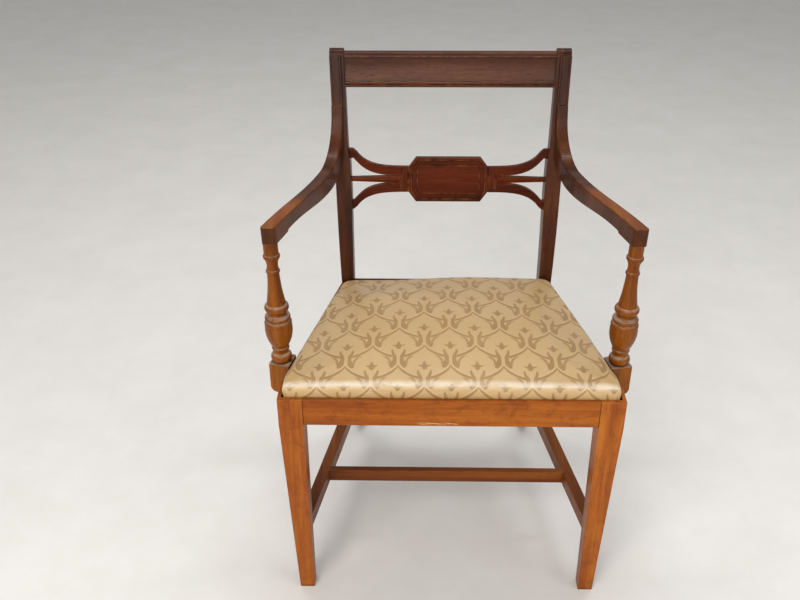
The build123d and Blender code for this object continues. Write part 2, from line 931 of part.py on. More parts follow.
# Members of the wooden seat frame: front and back run through, the sides fit between
def seat_frame():
    ring = seat_slab(frame_inset, frame_low, frame_top, True)
    ring = ring - seat_slab(frame_inset + frame_member, frame_low, frame_top)
    front_y = lip_front + frame_inset + frame_member
    back_y_line = seat_depth - lip_back - frame_inset - frame_member
    length = back_y_line - front_y
    middle = Pos(0, front_y + length / 2, frame_low) * Box(2 * wide, length, 2 * crown_top)
    ends = ring - middle
    sides = ring & middle
    front, back = ends.solids().sort_by(Axis.Y)
    left_side, right_side = sides.solids().sort_by(Axis.X)
    pins = []
    for y in (front_y, back_y_line):
        x = side_x(y) - lip_side / side_normal.X - frame_inset - frame_member / 2
        pin = dowel((x, y, frame_low + frame_thick / 2), (0, 1, 0))
        pins += [pin, left(pin)]
    return front, back, left_side, right_side, pins


def webbing():
    front = lip_front + frame_inset + frame_member - web_hold
    back = seat_depth - lip_back - frame_inset - frame_member + web_hold
    edge = lip_side / side_normal.X + frame_inset + frame_member - web_hold
    narrow = 2 * (side_x(back) - edge)
    long_pitch = (narrow - web_width) / (web_long_count - 1)
    lengthwise = []
    for index in range(web_long_count):
        x = (index - (web_long_count - 1) / 2) * long_pitch
        strip = Box(web_width, back - front, web_thick, align=(Align.CENTER, Align.MIN, Align.MIN))
        lengthwise.append(Pos(x, front, frame_top) * strip)
    cross_pitch = (back - front) / web_cross_count
    crosswise = []
    for index in range(web_cross_count):
        y = front + cross_pitch * (index + 0.5)
        half = side_x(y + web_width / 2) - edge
        strip = Box(2 * half, web_width, web_thick, align=(Align.CENTER, Align.CENTER, Align.MIN))
        crosswise.append(Pos(0, y, cross_web_low) * strip)
    return lengthwise, crosswise


# Flat-headed tacks with square shanks that hold the turned-under cover and the dust cover
def tacks():
    inset = (lip_side + tack_inset) / side_normal.X
    front_y = lip_front + tack_inset
    rear_y = seat_depth - lip_back - tack_inset
    spots = []
    for y in (front_y, rear_y):
        steps = int((side_x(y) - inset - tack_inset) / tack_pitch)
        spots += [(step * tack_pitch, y) for step in range(-steps, steps + 1)]
    steps = int((rear_y - front_y - tack_inset) / tack_pitch)
    for step in range(steps):
        y = (front_y + rear_y) / 2 + (step - (steps - 1) / 2) * tack_pitch
        x = side_x(y) - inset
        spots += [(x, y), (-x, y)]
    low = rabbet_floor - dust_thick
    pins = []
    for x, y in spots:
        head = extrude(RegularPolygon(tack_head_radius, tack_head_sides), -tack_head_height)
        shank = extrude(Rectangle(tack_shank, tack_shank), tack_length)
        pins.append(Pos(x, y, low) * (head + shank))
    return pins


# Build the pieces and cut the joints
nodes = {}
leg = front_leg()
post = rear_post()
arm_right = arm() - post
support = arm_support()
rail_front = front_rail() - seat_pocket
rail_side = side_rail() - seat_pocket
rail_back = back_rail() - seat_pocket
crest = crest_rail() - post - left(post)
splat = back_splat()
splat_pegs = [
    back_plane
    * Pos(side * post_inner(splat_middle), up_back(splat_middle), -splat_set - splat_thick / 2)
    * Box(2 * splat_tenon, 2 * dart_tip, splat_thick / 2)
    for side in (1, -1)
]
splat = splat - post - left(post) + splat_pegs
side_bar = eased(side_stretcher(tenon_length, 0), stretcher_dir) - leg - post
side_bar = side_bar.solids().sort_by(SortBy.VOLUME)[-1]
side_tenon = side_stretcher(tenon_length, tenon_cheek)
side_bar = side_bar + side_tenon
cross_tenon = cross_stretcher(tenon_length, cross_cheek)
cross_bar = eased(cross_stretcher(tenon_length, 0), Vector(1, 0, 0))
cross_bar = cross_bar - side_bar - left(side_bar) + cross_tenon
side_bar = side_bar - cross_tenon
block_front = front_block() - leg - rail_front - rail_side
block_rear = rear_block() - rail_back - rail_side

front_screws, front_bores = block_screws(
    front_half - leg_width - block_screw_from_corner,
    rail_thick,
    -1,
    leg_depth + block_screw_from_corner,
)
rear_screws, rear_bores = block_screws(
    rear_corner.X - block_screw_from_corner,
    back_face_y,
    1,
    back_face_y - block_screw_from_corner,
)
arm_screws, arm_plugs = arm_fixings(post)
support_screws = support_fixings()
pins_front = front_rail_dowels()
pins_side = side_rail_dowels()
pins_back = back_rail_dowels()
pins_crest = crest_dowels()

leg = leg - leg_pocket - side_tenon - pins_front - pins_side
post = post - side_tenon - splat_pegs[0] - pins_side - pins_back - pins_crest
post = post - arm_screws - arm_plugs
arm_right = arm_right - support - arm_screws
support = support - support_screws
rail_side = rail_side - pins_side - support_screws - front_screws - rear_screws
mirrored_pins = [left(pin) for pin in pins_front + pins_back + pins_crest]
mirrored_screws = [left(pin) for pin in front_screws + rear_screws]
rail_front = rail_front - pins_front - mirrored_pins - front_screws - mirrored_screws
rail_back = rail_back - pins_back - mirrored_pins - rear_screws - mirrored_screws
crest = crest - pins_crest - mirrored_pins
block_front = block_front - front_screws - front_bores
block_rear = block_rear - rear_screws - rear_bores

for name, piece in (
    ("front_leg", leg),
    ("rear_post", post),
    ("arm", arm_right),
    ("arm_support", support),
    ("side_rail", rail_side),
    ("side_stretcher", side_bar),
    ("front_corner_block", block_front),
    ("rear_corner_block", block_rear),
):
    nodes[name + "_right"] = piece
    nodes[name + "_left"] = left(piece)
nodes["front_rail"] = rail_front
nodes["back_rail"] = rail_back
nodes["crest_rail"] = crest
nodes["back_splat"] = splat
nodes["cross_stretcher"] = cross_bar
for name, pieces in (
    ("front_rail_dowels", pins_front),
    ("side_rail_dowels", pins_side),
    ("back_rail_dowels", pins_back),
    ("crest_rail_dowels", pins_crest),
    ("corner_block_screws", front_screws + rear_screws),
    ("arm_screws", arm_screws),
    ("arm_screw_plugs", arm_plugs),
    ("arm_support_screws", support_screws),
):
    nodes[name] = joined(pieces + [left(piece) for piece in pieces])

seat_front, seat_back, seat_left, seat_right, seat_pins = seat_frame()
web_long, web_cross = webbing()
seat_tacks = tacks()
nodes["seat_frame_front"] = seat_front - seat_pins - seat_tacks
nodes["seat_frame_back"] = seat_back - seat_pins - seat_tacks
nodes["seat_frame_left"] = seat_left - seat_pins - seat_tacks
nodes["seat_frame_right"] = seat_right - seat_pins - seat_tacks
nodes["seat_frame_dowels"] = joined(seat_pins)
nodes["seat_webbing_long"] = joined(web_long)
nodes["seat_webbing_cross"] = joined(web_cross)
nodes["seat_hessian"] = seat_slab(frame_inset + hessian_inset, hessian_low, pad_low)
nodes["seat_pad"] = seat_pad()
nodes["seat_cover"] = seat_cover() - seat_tacks
nodes["seat_dust_cover"] = seat_slab(dust_inset, rabbet_floor - dust_thick, rabbet_floor) - seat_tacks
nodes["seat_tacks"] = joined(seat_tacks)

# Centre the chair front to back over the origin and write one file for each piece
boxes = [piece.bounding_box() for piece in nodes.values()]
middle_y = (min(box.min.Y for box in boxes) + max(box.max.Y for box in boxes)) / 2
os.makedirs("parts", exist_ok=True)
for name, piece in nodes.items():
    export_step(Pos(0, -middle_y, 0) * piece, f"parts/{name}.step")
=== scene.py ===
import math

import bpy
import numpy as np
from mathutils import Matrix, Vector
from mathutils.bvhtree import BVHTree


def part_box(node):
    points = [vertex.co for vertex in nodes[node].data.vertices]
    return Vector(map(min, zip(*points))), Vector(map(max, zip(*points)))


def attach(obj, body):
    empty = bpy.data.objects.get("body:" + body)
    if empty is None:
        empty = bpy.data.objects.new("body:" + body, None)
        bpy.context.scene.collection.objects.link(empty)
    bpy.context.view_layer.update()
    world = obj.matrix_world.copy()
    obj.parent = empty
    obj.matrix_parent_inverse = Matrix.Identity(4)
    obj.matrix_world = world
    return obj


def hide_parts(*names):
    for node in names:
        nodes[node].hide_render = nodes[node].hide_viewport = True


# Looks of a wooden armchair with a lift-out damask seat. Everything is in metres.

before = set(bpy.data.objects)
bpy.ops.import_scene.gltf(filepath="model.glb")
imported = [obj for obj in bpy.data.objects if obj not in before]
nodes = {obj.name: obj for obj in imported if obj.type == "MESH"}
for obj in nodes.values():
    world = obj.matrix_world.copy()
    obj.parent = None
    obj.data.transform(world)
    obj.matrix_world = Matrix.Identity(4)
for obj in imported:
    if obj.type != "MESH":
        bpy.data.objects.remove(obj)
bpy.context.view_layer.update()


def linear(*rgb):
    """Colour picked as 0 to 255 display values, as linear RGBA."""
    out = []
    for value in rgb:
        c = value / 255
        out.append(c / 12.92 if c <= 0.04045 else ((c + 0.055) / 1.055) ** 2.4)
    return (*out, 1.0)


class Num:
    """A number in a shader tree, so that formulas can be written as formulas."""

    def __init__(self, tree, socket):
        self.tree = tree
        self.socket = socket

    def math(self, operation, *others):
        node = self.tree.nodes.new("ShaderNodeMath")
        node.operation = operation
        for index, value in enumerate((self, *others)):
            if isinstance(value, Num):
                self.tree.links.new(value.socket, node.inputs[index])
            else:
                node.inputs[index].default_value = value
        return Num(self.tree, node.outputs[0])

    def __add__(self, other):
        return self.math("ADD", other)

    def __sub__(self, other):
        return self.math("SUBTRACT", other)

    def __mul__(self, other):
        return self.math("MULTIPLY", other)

    def __truediv__(self, other):
        return self.math("DIVIDE", other)

    def __pow__(self, other):
        return self.math("POWER", other)

    def floor(self):
        return self.math("FLOOR")

    def abs(self):
        return self.math("ABSOLUTE")

    def sin(self):
        return self.math("SINE")

    def low(self, other):
        return self.math("MINIMUM", other)

    def high(self, other):
        return self.math("MAXIMUM", other)

    def held(self):
        """Kept between 0 and 1."""
        return self.high(0.0).low(1.0)

    def wrap(self, low, high):
        return self.math("WRAP", high, low)

    def ramp(self, start, end, low=0.0, high=1.0):
        """Smooth step from low at start to high at end."""
        node = self.tree.nodes.new("ShaderNodeMapRange")
        node.interpolation_type = "SMOOTHSTEP"
        self.tree.links.new(self.socket, node.inputs["Value"])
        ends = {"From Min": start, "From Max": end, "To Min": low, "To Max": high}
        for name, value in ends.items():
            node.inputs[name].default_value = value
        return Num(self.tree, node.outputs[0])


# Sockets of a colour mix
MIX_FACTOR, MIX_FIRST, MIX_SECOND, MIX_RESULT = 0, 6, 7, 2
# Rays for each look at the surroundings of a point
LOOKS = 6
# Cosines between a face and its bevelled self where it counts as flat and as an edge
FLAT_COS, EDGE_COS = 0.995, 0.86


class Shader:
    """A material with a Principled surface and helpers for the nodes that drive it."""

    def __init__(self, name):
        self.material = bpy.data.materials.new(name)
        self.material.use_nodes = True
        self.tree = self.material.node_tree
        self.surface = next(n for n in self.tree.nodes if n.type == "BSDF_PRINCIPLED")

    def node(self, kind, **inputs):
        made = self.tree.nodes.new(kind)
        for name, value in inputs.items():
            self.feed(made.inputs[name.replace("_", " ")], value)
        return made

    def feed(self, socket, value):
        if isinstance(value, Num):
            self.tree.links.new(value.socket, socket)
        elif isinstance(value, bpy.types.NodeSocket):
            self.tree.links.new(value, socket)
        else:
            socket.default_value = value

    def num(self, socket):
        return Num(self.tree, socket)

    def coords(self, attribute=None):
        if attribute:
            node = self.tree.nodes.new("ShaderNodeAttribute")
            node.attribute_name = attribute
            return node.outputs["Vector"]
        return self.tree.nodes.new("ShaderNodeTexCoord").outputs["Object"]

    def split(self, vector):
        node = self.node("ShaderNodeSeparateXYZ", Vector=vector)
        return [self.num(node.outputs[i]) for i in range(3)]

    def moved(self, vector, location=(0, 0, 0), rotation=(0, 0, 0), scale=(1, 1, 1)):
        node = self.node("ShaderNodeMapping", Vector=vector)
        node.inputs["Location"].default_value = location
        node.inputs["Rotation"].default_value = rotation
        node.inputs["Scale"].default_value = scale
        return node.outputs["Vector"]

    def noise(self, vector, scale, detail=3.0, rough=0.55, distort=0.0):
        node = self.node("ShaderNodeTexNoise", Vector=vector)
        node.inputs["Scale"].default_value = scale
        node.inputs["Detail"].default_value = detail
        node.inputs["Roughness"].default_value = rough
        node.inputs["Distortion"].default_value = distort
        return self.num(node.outputs["Fac"])

    def colours(self, factor, stops):
        node = self.tree.nodes.new("ShaderNodeValToRGB")
        ramp = node.color_ramp
        while len(ramp.elements) < len(stops):
            ramp.elements.new(0.5)
        for element, (place, colour) in zip(ramp.elements, stops):
            element.position = place
            element.color = colour
        self.feed(node.inputs["Fac"], factor)
        return node.outputs["Color"]

    def mix(self, factor, first, second):
        node = self.tree.nodes.new("ShaderNodeMix")
        node.data_type = "RGBA"
        self.feed(node.inputs[MIX_FACTOR], factor)
        self.feed(node.inputs[MIX_FIRST], first)
        self.feed(node.inputs[MIX_SECOND], second)
        return node.outputs[MIX_RESULT]

    def edges(self, radius):
        """How strongly the surface turns within a small radius, for edges paled by use and by a
        painted highlight.
        """
        bevel = self.tree.nodes.new("ShaderNodeBevel")
        bevel.samples = LOOKS
        bevel.inputs["Radius"].default_value = radius
        normal = self.tree.nodes.new("ShaderNodeNewGeometry").outputs["Normal"]
        dot = self.tree.nodes.new("ShaderNodeVectorMath")
        dot.operation = "DOT_PRODUCT"
        self.tree.links.new(bevel.outputs[0], dot.inputs[0])
        self.tree.links.new(normal, dot.inputs[1])
        return self.num(dot.outputs["Value"]).ramp(FLAT_COS, EDGE_COS)

    def hollows(self, distance):
        """How enclosed the surface is, for polish build-up and painted shade in corners and
        grooves.
        """
        node = self.tree.nodes.new("ShaderNodeAmbientOcclusion")
        node.samples = LOOKS
        node.inputs["Distance"].default_value = distance
        return self.num(node.outputs["AO"])

    def facing_up(self):
        """How far a face looks up, from 1 for level to -1 for underneath."""
        return self.split(self.tree.nodes.new("ShaderNodeNewGeometry").outputs["Normal"])[2]

    def finish(self, colour, roughness, height, depth, **plain):
        """Connects the surface. Plain values go straight onto the sockets."""
        self.feed(self.surface.inputs["Base Color"], colour)
        self.feed(self.surface.inputs["Roughness"], roughness)
        bump = self.node("ShaderNodeBump", Height=height)
        bump.inputs["Strength"].default_value = 1.0
        bump.inputs["Distance"].default_value = depth
        self.tree.links.new(bump.outputs[0], self.surface.inputs["Normal"])
        for name, value in plain.items():
            self.surface.inputs[name.replace("_", " ")].default_value = value
        return self.material


TURN = {"X": (0, 0, 0), "Y": (0, 0, math.pi / 2), "Z": (0, math.pi / 2, 0)}
# Stretch of each noise along and across the grain, in cells per metre
FIGURE = (1.6, 14, 14)
RIBBON = (5, 90, 90)
FINE = (16, 560, 560)
PORES = (70, 1700, 1700)
SCRAPES = (55, 300, 900)
# Shift of the grain from one piece to the next
NEXT_PIECE = (0.31, 0.17, 0.23)
# Reach of the polish build-up and painted shade that darken corners and fine lines
CORNER, LINE = 0.014, 0.003
WOOD_RELIEF = 0.00022
# Dark of old polish, also used as painted shade in corners and grooves and for dark joints
POLISH_AND_SHADE = linear(36, 14, 7)
# Pale of rubbed edges, also used as a painted highlight along them
RUBBED_AND_HIGHLIT = linear(196, 128, 68)
# Pale of dust on faces that look up, also used as a painted sheen there
PALE_DUST_AND_SHEEN = linear(208, 190, 168)
SCRAPED = linear(226, 178, 118)


def grain(s, along, offset):
    """Tone, ribbon, fine lines and pores of timber with its grain along one axis."""
    shift = tuple(step * offset for step in NEXT_PIECE)
    place = s.moved(s.coords(), location=shift, rotation=TURN[along])
    figure = s.noise(s.moved(place, scale=FIGURE), 1.0, 4.0, 0.5, 0.6)
    ribbon = s.noise(s.moved(place, scale=RIBBON), 1.0, 3.0, 0.6, 0.3)
    fine = s.noise(s.moved(place, scale=FINE), 1.0, 2.0, 0.6)
    pore = s.noise(s.moved(place, scale=PORES), 1.0, 1.0, 0.5).ramp(0.60, 0.72)
    tone = (figure * 0.55 + ribbon * 0.3 + fine * 0.15).ramp(0.30, 0.70)
    return tone, ribbon, fine, pore


def wood(
    name,
    along,
    offset,
    tones,
    wear_and_highlight,
    pores=0.55,
    gloss=0.34,
    shine=0.15,
    lines=0.45,
    edge_reach=0.0016,
    dust_and_sheen=0.0,
    stains=0.0,
    fade=None,
    joints=None,
    patch=None,
):
    """Polished timber with its grain along one axis.

    lines is how open a groove may be and still be drawn dark, with polish build-up and painted
    shade.
    edge_reach is how far the pale edge, partly from use and partly a painted highlight, reaches in
    from an edge.
    dust_and_sheen pales faces that look up, partly as settled dirt and partly as a painted sheen,
    and stains are dark cloudy places in the polish.
    fade is (start, end, tones, offset): between two places along Y, and on its sides,
    the timber takes on the grain of an upright one in its darker tones, as painted shadow.
    joints is the half width at which a piece meets its neighbours in a dark line.
    patch is (from, to, level): a scraped strip along X a little above a level.
    """
    s = Shader(name)
    where = s.coords()
    x, y, z = s.split(where)
    darkest, lightest = tones[0][1], tones[-1][1]
    tone, ribbon, fine, pore = grain(s, along, offset)
    colour = s.mix(pore * pores, s.colours(tone, tones), darkest)
    # Painted shadow: towards the back and on its sides an arm takes its post's darker tones
    if fade:
        start, end, post_tones, post_offset = fade
        post_tone, _, _, post_pore = grain(s, "Z", post_offset)
        post = s.mix(post_pore * pores, s.colours(post_tone, post_tones), post_tones[0][1])
        # Faces that do not look up are painted in shade, as the light falls on the top
        sides = s.facing_up().ramp(0.2, 0.8, 0.85, 0.0)
        colour = s.mix(y.ramp(start, end).high(sides), colour, post)
    if stains:
        clouds = s.noise(s.moved(where, location=(offset, 0, 0)), 34.0, 5.0, 0.62, 0.5)
        colour = s.mix(clouds.ramp(0.48, 0.72) * stains, colour, darkest)
    # Corners and grooves darkened with polish build-up and painted shade
    colour = s.mix(s.hollows(CORNER).ramp(0.25, 0.85, 0.75, 0.0), colour, POLISH_AND_SHADE)
    colour = s.mix(s.hollows(LINE).ramp(lines, lines * 0.12 + 0.86, 0.85, 0.0), colour, POLISH_AND_SHADE)
    broken = s.noise(where, 60.0, 4.0, 0.65).ramp(0.38, 0.66)
    # Edges paled, partly by use and partly as a painted highlight
    worn_and_highlit = s.edges(edge_reach) * broken * wear_and_highlight
    colour = s.mix(worn_and_highlit, colour, tuple((a + b) / 2 for a, b in zip(lightest, RUBBED_AND_HIGHLIT)))
    mottle = s.noise(where, 38.0, 3.0, 0.6)
    rough = mottle * 0.16 + fine * 0.08 + worn_and_highlit * 0.18 + (gloss - 0.10)
    # Faces that look up turn pale, partly with dust and partly as a painted sheen
    if dust_and_sheen:
        patchy = s.noise(where, 90.0, 4.0, 0.6).ramp(0.25, 0.6)
        dust_and_sheen_mask = s.facing_up().ramp(0.35, 0.9) * patchy * dust_and_sheen
        colour = s.mix(dust_and_sheen_mask, colour, PALE_DUST_AND_SHEEN)
        rough = rough + dust_and_sheen_mask * 0.1
    if joints:
        seam = x.abs().ramp(joints - 0.0012, joints - 0.0005)
        colour = s.mix(seam * 0.85, colour, POLISH_AND_SHADE)
    if patch:
        start, end, level = patch
        strip = x.ramp(start, start + 0.008) * x.ramp(end, end - 0.008)
        strip = strip * z.ramp(level + 0.0040, level + 0.0055)
        strip = strip * z.ramp(level + 0.0100, level + 0.0080)
        scrapes = s.noise(s.moved(where, scale=SCRAPES), 1.0, 3.0, 0.6)
        strip = strip * scrapes.ramp(0.44, 0.60)
        colour = s.mix(strip * 0.8, colour, SCRAPED)
        rough = rough + strip * 0.2
    return s.finish(
        colour,
        rough,
        fine * 0.5 - pore * 0.6 + ribbon * 0.3,
        WOOD_RELIEF,
        Specular_IOR_Level=shine,
        Coat_Weight=0.06,
        Coat_Roughness=0.12,
    )


# One mahogany in several tone tables; some are painted lighter or darker for the light and shade
# that fell on their pieces
FRONT_TONES = (
    (0.0, linear(104, 43, 6)),
    (0.35, linear(131, 62, 9)),
    (0.7, linear(151, 78, 14)),
    (1.0, linear(169, 95, 26)),
)
# Legs: painted lighter, as light fell on them
LIT_LEG_TONES = (
    (0.0, linear(122, 56, 12)),
    (0.35, linear(150, 78, 20)),
    (0.7, linear(171, 96, 28)),
    (1.0, linear(189, 113, 42)),
)
# Posts, crest, back rail and plugs: painted darker for the shade they stood in
SHADED_BACK_TONES = (
    (0.0, linear(40, 16, 6)),
    (0.35, linear(60, 27, 10)),
    (0.7, linear(79, 39, 16)),
    (1.0, linear(97, 53, 25)),
)
# Splat: painted darker for the shade it stood in
SHADED_SPLAT_TONES = (
    (0.0, linear(48, 14, 3)),
    (0.35, linear(70, 23, 5)),
    (0.7, linear(87, 32, 8)),
    (1.0, linear(103, 44, 13)),
)
# Arms: painted darker for the shade they stood in
SHADED_ARM_TONES = (
    (0.0, linear(82, 36, 8)),
    (0.35, linear(112, 55, 13)),
    (0.7, linear(134, 72, 20)),
    (1.0, linear(152, 88, 30)),
)
SUPPORT_TONES = (
    (0.0, linear(78, 34, 4)),
    (0.35, linear(110, 54, 7)),
    (0.7, linear(136, 74, 12)),
    (1.0, linear(158, 94, 22)),
)
# Stretchers: painted darker for the shade they stood in
SHADED_STRETCHER_TONES = (
    (0.0, linear(80, 36, 9)),
    (0.35, linear(106, 52, 14)),
    (0.7, linear(128, 68, 20)),
    (1.0, linear(146, 82, 28)),
)
PALE_TONES = (
    (0.0, linear(150, 112, 70)),
    (0.35, linear(178, 139, 93)),
    (0.7, linear(197, 160, 113)),
    (1.0, linear(212, 178, 132)),
)

# Wider pale edges, partly from wear and partly a painted highlight, and dark stains
SCUFFED_AND_HIGHLIT = {"edge_reach": 0.0024, "stains": 0.55}
# Grooves drawn dark even where more open: polish build-up and painted shade
DARK_LINES = {"lines": 0.72}
# Start of a piece's name, run of its grain, tones, how pale its edges are from wear and a painted
# highlight, and its own finish
TIMBER = (
    ("front_rail", "X", FRONT_TONES, 0.75, SCUFFED_AND_HIGHLIT),
    ("front_leg", "Z", LIT_LEG_TONES, 0.75, SCUFFED_AND_HIGHLIT),
    ("side_rail", "Y", FRONT_TONES, 0.6, SCUFFED_AND_HIGHLIT),
    ("side_stretcher", "Y", SHADED_STRETCHER_TONES, 0.5, {}),
    ("cross_stretcher", "X", SHADED_STRETCHER_TONES, 0.6, {}),
    # Turned supports: pale on faces that look up, partly dust and partly a painted sheen
    ("arm_support", "Z", SUPPORT_TONES, 0.6, {"dust_and_sheen": 0.45, "lines": 0.70, "gloss": 0.27}),
    ("arm_screw_plugs", "X", SHADED_BACK_TONES, 0.2, DARK_LINES),
    ("arm_", "Y", SHADED_ARM_TONES, 0.75, {}),
    ("rear_post", "Z", SHADED_BACK_TONES, 0.45, DARK_LINES),
    ("crest_rail", "X", SHADED_BACK_TONES, 0.55, {"lines": 0.72, "shine": 0.19, "edge_reach": 0.003}),
    ("back_splat", "X", SHADED_SPLAT_TONES, 0.6, {"lines": 0.80, "shine": 0.06, "edge_reach": 0.003}),
    ("back_rail", "X", SHADED_BACK_TONES, 0.4, DARK_LINES),
)
PALE = {"tones": PALE_TONES, "wear_and_highlight": 0.2, "pores": 0.3, "gloss": 0.6}
# Where along Y each arm goes into painted shadow, with the grain and darker tones of its post
ARM_SHADOW = {"arm_left": (-0.085, -0.015), "arm_right": (-0.015, 0.045)}
# Scraped strip along X on the front rail
SCRAPE = (-0.058, 0.015)

WIRE, RUST = linear(150, 148, 144), linear(110, 66, 38)
STEEL_RELIEF = 0.00005
CLOTH_RELIEF = 0.0003


def steel(name):
    """Dull wire steel, a little rusty."""
    s = Shader(name)
    where = s.coords()
    brushed = s.noise(s.moved(where, scale=(900, 900, 60)), 1.0, 2.0)
    rust = s.noise(where, 320.0, 4.0, 0.6).ramp(0.52, 0.68)
    colour = s.mix(rust * 0.7, WIRE, RUST)
    rough = brushed * 0.25 + rust * 0.3 + 0.25
    return s.finish(colour, rough, brushed, STEEL_RELIEF, Metallic=0.9)


def cloth(name, dark, light, threads):
    """Plain woven cloth with so many threads to the metre."""
    s = Shader(name)
    where = s.coords()
    x, y = s.split(where)[:2]
    pitch = math.pi * threads
    weave = (x * pitch).sin() * (y * pitch).sin()
    slub = s.noise(s.moved(where, scale=(40, 900, 40)), 1.0, 3.0) * 0.5
    slub = slub + s.noise(s.moved(where, scale=(900, 40, 40)), 1.0, 3.0) * 0.5
    stain = s.noise(where, 9.0, 4.0, 0.6)
    tone = weave * 0.18 + slub * 0.6 + stain * 0.4
    colour = s.colours(tone.ramp(0.25, 0.75), ((0.0, dark), (1.0, light)))
    return s.finish(
        colour,
        slub * 0.2 + 0.72,
        weave * 0.5 + slub,
        CLOTH_RELIEF,
        Sheen_Weight=0.25,
        Sheen_Roughness=0.5,
    )


# Damask: a half-drop ogee lattice of leafy stems with a small three-petalled flower in each cell.
# Its drawing counts up in rows from a neck of the lattice and gives all sizes in metres.
REPEAT = 0.087
HALF = REPEAT / 2
ROW = 0.052
FIRST_ROW = -0.1986
# Net of small diamonds in the ground, and half the width of a drawn shape's soft edge
SEED = 0.0056
SOFT = 0.0007
# A stem starts at a foot beside its neck and bends up to the point of the arch
ARCH_FOOT, ARCH_RISE, ARCH_BEND = 0.51, 0.49, 1.95
ARCH_POINT = 0.08
# Half a stem's width at its foot, what it loses up to the point, and the radius of a shoulder
STEM_WIDE, STEM_TAPER = 0.0033, 0.0014
SHOULDER = 0.0140
# A leaf's inner and outer edge at the neck, how they spread above and below, and its rounded end
LEAF_IN, LEAF_IN_TOP, LEAF_IN_TAIL = 0.0029, 0.0079, 0.0083
LEAF_OUT, LEAF_OUT_TOP, LEAF_OUT_TAIL = 0.0093, 0.0131, 0.0054
LEAF_END = 0.0022
LOBE = 0.0005
# Flower: foot above the neck, height and width of its bud, reach and width of its petals
FLOWER_FOOT = 0.885
BUD_HIGH, BUD_WIDE = 0.0220, 0.0046
PETAL_REACH, PETAL_WIDE = 0.0122, 0.0024
WARP_THREADS, RIB_THREADS = 2600, 1500
DAMASK_RELIEF = 0.00018
GROUND_TONES = (
    (0.25, linear(188, 153, 102)),
    (0.5, linear(200, 167, 116)),
    (0.75, linear(211, 181, 132)),
)
DRAWN_TONES = ((0.3, linear(138, 100, 49)), (0.7, linear(161, 122, 67)))
SATIN_LIGHT = linear(222, 194, 146)
REAR_SHADE = linear(148, 114, 68)
# Painted highlight on the satin along the seat's front edge
SATIN_HIGHLIGHT = linear(243, 232, 212)


def inked(distance):
    """Full inside a drawn shape, where the distance to its outline is below nothing."""
    return distance.ramp(SOFT, -SOFT)


def stems(up, across):
    """Stems that meet in a pointed arch with a stroke round each shoulder, and their light line."""
    run = across / HALF
    slope = run ** (ARCH_BEND - 1.0) * (ARCH_RISE * ARCH_BEND * ROW / HALF)
    above = up - run**ARCH_BEND * ARCH_RISE - run**14.0 * ARCH_POINT - ARCH_FOOT
    away = above * ROW / (slope * slope + 1.0).math("SQRT")
    stem = inked(away.abs() + run * STEM_TAPER - STEM_WIDE) * across.ramp(0.008, 0.011)
    light = inked((away - 0.0044).abs() - 0.0013) * across.ramp(0.008, 0.014)
    level = (across - 0.0275) / SHOULDER
    plumb = (up - 0.19) / 0.36
    ring = ((level * level + plumb * plumb).math("SQRT") - 1.0) * SHOULDER
    stroke = inked(ring.abs() - 0.0020) * across.ramp(0.0300, 0.0180) * up.ramp(0.06, 0.20)
    return stem.high(stroke * 0.9), light


def leaves(up, across):
    """Leaves that hug each neck and flare out above and below it."""
    end = ((up - 0.36) / 0.53).held() ** 9.0 * LEAF_END
    tail = ((up * -1.0 + 0.24) / 0.28).held()
    inside = up.ramp(0.50, 0.80, LEAF_IN, LEAF_IN_TOP) + tail * tail * LEAF_IN_TAIL + end
    outside = up.ramp(0.45, 0.88, LEAF_OUT, LEAF_OUT_TOP) - end
    outside = outside + up.ramp(0.41, 0.06, 0.0, LEAF_OUT_TAIL) - up.ramp(0.06, -0.06, 0.0, 0.0046)
    outside = outside + (up * 46.0 + 0.6).sin() * up.ramp(0.42, 0.30, 0.0, LOBE)
    leaf = inked(inside - across) * inked(across - outside)
    leaf = leaf * up.ramp(-0.062, -0.04) * up.ramp(0.89, 0.875)
    vein = ((across - inside * 0.55 - outside * 0.45).abs() - 0.0003).ramp(0.0004, -0.0004)
    return leaf * (vein * up.ramp(0.04, 0.12) * up.ramp(0.7, 0.5) * -0.3 + 1.0)


def flowers(up, across):
    """Flower above the neck: a pointed bud and two petals that spread."""
    lift = (up - FLOWER_FOOT) * ROW
    rise = (lift / BUD_HIGH).held()
    bud = inked(across - (rise**0.66 * math.pi).sin() * BUD_WIDE)
    bud = bud * rise.ramp(0.0, 0.04) * rise.ramp(1.0, 0.95)
    run = (across / PETAL_REACH).low(1.0)
    middle = run**1.5 * 0.0042 + 0.0082
    petal = (lift - middle).abs() - (run**0.55 * math.pi).sin() * PETAL_WIDE
    return bud.high(inked(petal) * run.ramp(1.0, 0.95))


